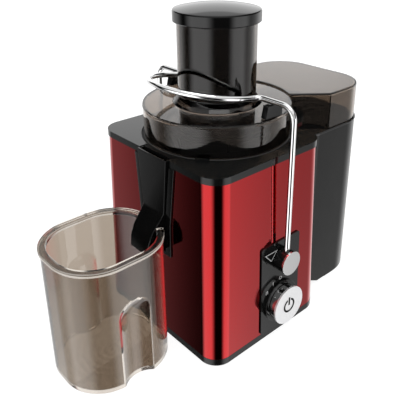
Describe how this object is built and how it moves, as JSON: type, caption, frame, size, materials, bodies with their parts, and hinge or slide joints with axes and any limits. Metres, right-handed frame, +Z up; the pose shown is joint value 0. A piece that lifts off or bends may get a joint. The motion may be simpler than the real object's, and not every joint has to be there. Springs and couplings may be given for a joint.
{
  "type": "centrifugal juicer",
  "caption": "Electric juicer: red steel housing, bail-locked smoky lid with wide feed tube and pusher, sieve basket, spout with cup on the left, pulp bin on the right.",
  "frame": {"origin": "on the table under the axis of the motor, basket and feed tube", "axes": "+Z up along the motor's axis; the control panel faces -Y; the juice cup stands at -X and the pulp bin at +X"},
  "size_m": [0.3892, 0.2217, 0.3466],
  "materials": {
    "red_steel": "gloss lacquer",
    "black_base": "fine texture",
    "cover_black": "satin",
    "panel_black": "high gloss",
    "spout_black": "gloss",
    "white_print": "print",
    "black_print": "print",
    "feet_rubber": "matte",
    "seal_rubber": "matte",
    "damper_rubber": "matte",
    "inner_grey": "moulded",
    "inner_cream": "moulded",
    "smoky_lid": "clear, smoky",
    "smoky_hood": "clear, smoky",
    "smoky_cup": "clear, smoky",
    "smoky_pusher": "dark, nearly opaque",
    "bin_black": "satin",
    "chrome": "bright",
    "knob_silver": "fine turned",
    "steel": "plain",
    "sieve_steel": "perforated",
    "lamination": "stacked sheet",
    "copper": "enamelled wire",
    "carbon": "pressed carbon",
    "yellow_film": "film case",
    "basket_plastic": "moulded"
  },
  "bodies": {
    "housing": {"base_plate": "black_base", "rubber_feet": "feet_rubber", "body_shell": "red_steel", "top_cover": "cover_black", "spout_frame": "spout_black", "control_panel": "panel_black", "panel_marks": "white_print", "knob_collar": "panel_black", "pivot_bushes": "inner_grey", "cord_gland": "black_base", "filter_bowl": "inner_grey", "juice_spout": "spout_black", "bowl_seal": "seal_rubber", "lid": "smoky_lid", "pulp_hood": "smoky_hood", "lid_catches": "panel_black", "motor_chassis": "steel", "motor_dampers": "damper_rubber", "stator_core": "lamination", "field_coils": "copper", "upper_bearing": "steel", "lower_bearing": "steel", "brush_holders": "inner_grey", "carbon_brushes": "carbon", "motor_screws": "steel", "cover_screws": "steel", "base_screws": "steel", "speed_switch": "inner_cream", "interlock_switch": "inner_grey", "suppressor": "yellow_film"},
    "arm": {"arm_rod": "chrome", "arm_hubs": "panel_black", "arm_caps": "chrome", "arm_pins": "steel", "interlock_cam": "inner_cream"},
    "knob": {"knob_body": "chrome", "knob_face": "knob_silver", "knob_symbol": "black_print", "switch_shaft": "steel"},
    "rotor": {"motor_shaft": "steel", "rotor_core": "lamination", "rotor_windings": "copper", "commutator": "copper", "cooling_fan": "inner_cream", "drive_coupling": "inner_grey"},
    "basket": {"basket_frame": "basket_plastic", "filter_mesh": "sieve_steel", "grater_disc": "steel"},
    "pusher": {"pusher": "smoky_pusher"},
    "cup": {"juice_cup": "smoky_cup"},
    "pulp_bin": {"pulp_container": "bin_black"}
  },
  "joints": [
    {"name": "arm_swing", "type": "hinge", "parent": "housing", "child": "arm", "pos_m": [0.0025, 0, 0.095], "axis": [0, -1, 0], "range_deg": [0, 45]},
    {"name": "knob_turn", "type": "hinge", "parent": "housing", "child": "knob", "pos_m": [0.0025, 0, 0.042], "axis": [0, -1, 0], "range_deg": [0, 48]},
    {"name": "rotor_spin", "type": "hinge", "parent": "housing", "child": "rotor", "pos_m": [0, 0, 0], "axis": [0, 0, 1], "continuous": true},
    {"name": "basket_spin", "type": "hinge", "parent": "housing", "child": "basket", "pos_m": [0, 0, 0], "axis": [0, 0, 1], "continuous": true},
    {"name": "pusher_slide", "type": "slide", "parent": "housing", "child": "pusher", "axis": [0, 0, 1], "range_m": [0, 0.09]},
    {"name": "cup_slide", "type": "slide", "parent": "housing", "child": "cup", "axis": [-1, 0, 0], "range_m": [0, 0.15]},
    {"name": "bin_slide", "type": "slide", "parent": "housing", "child": "pulp_bin", "axis": [1, 0, 0], "range_m": [0, 0.15]}
  ],
  "couplings": [
    {"joint": "basket_spin", "follows": "rotor_spin", "ratio": 1}
  ]
}
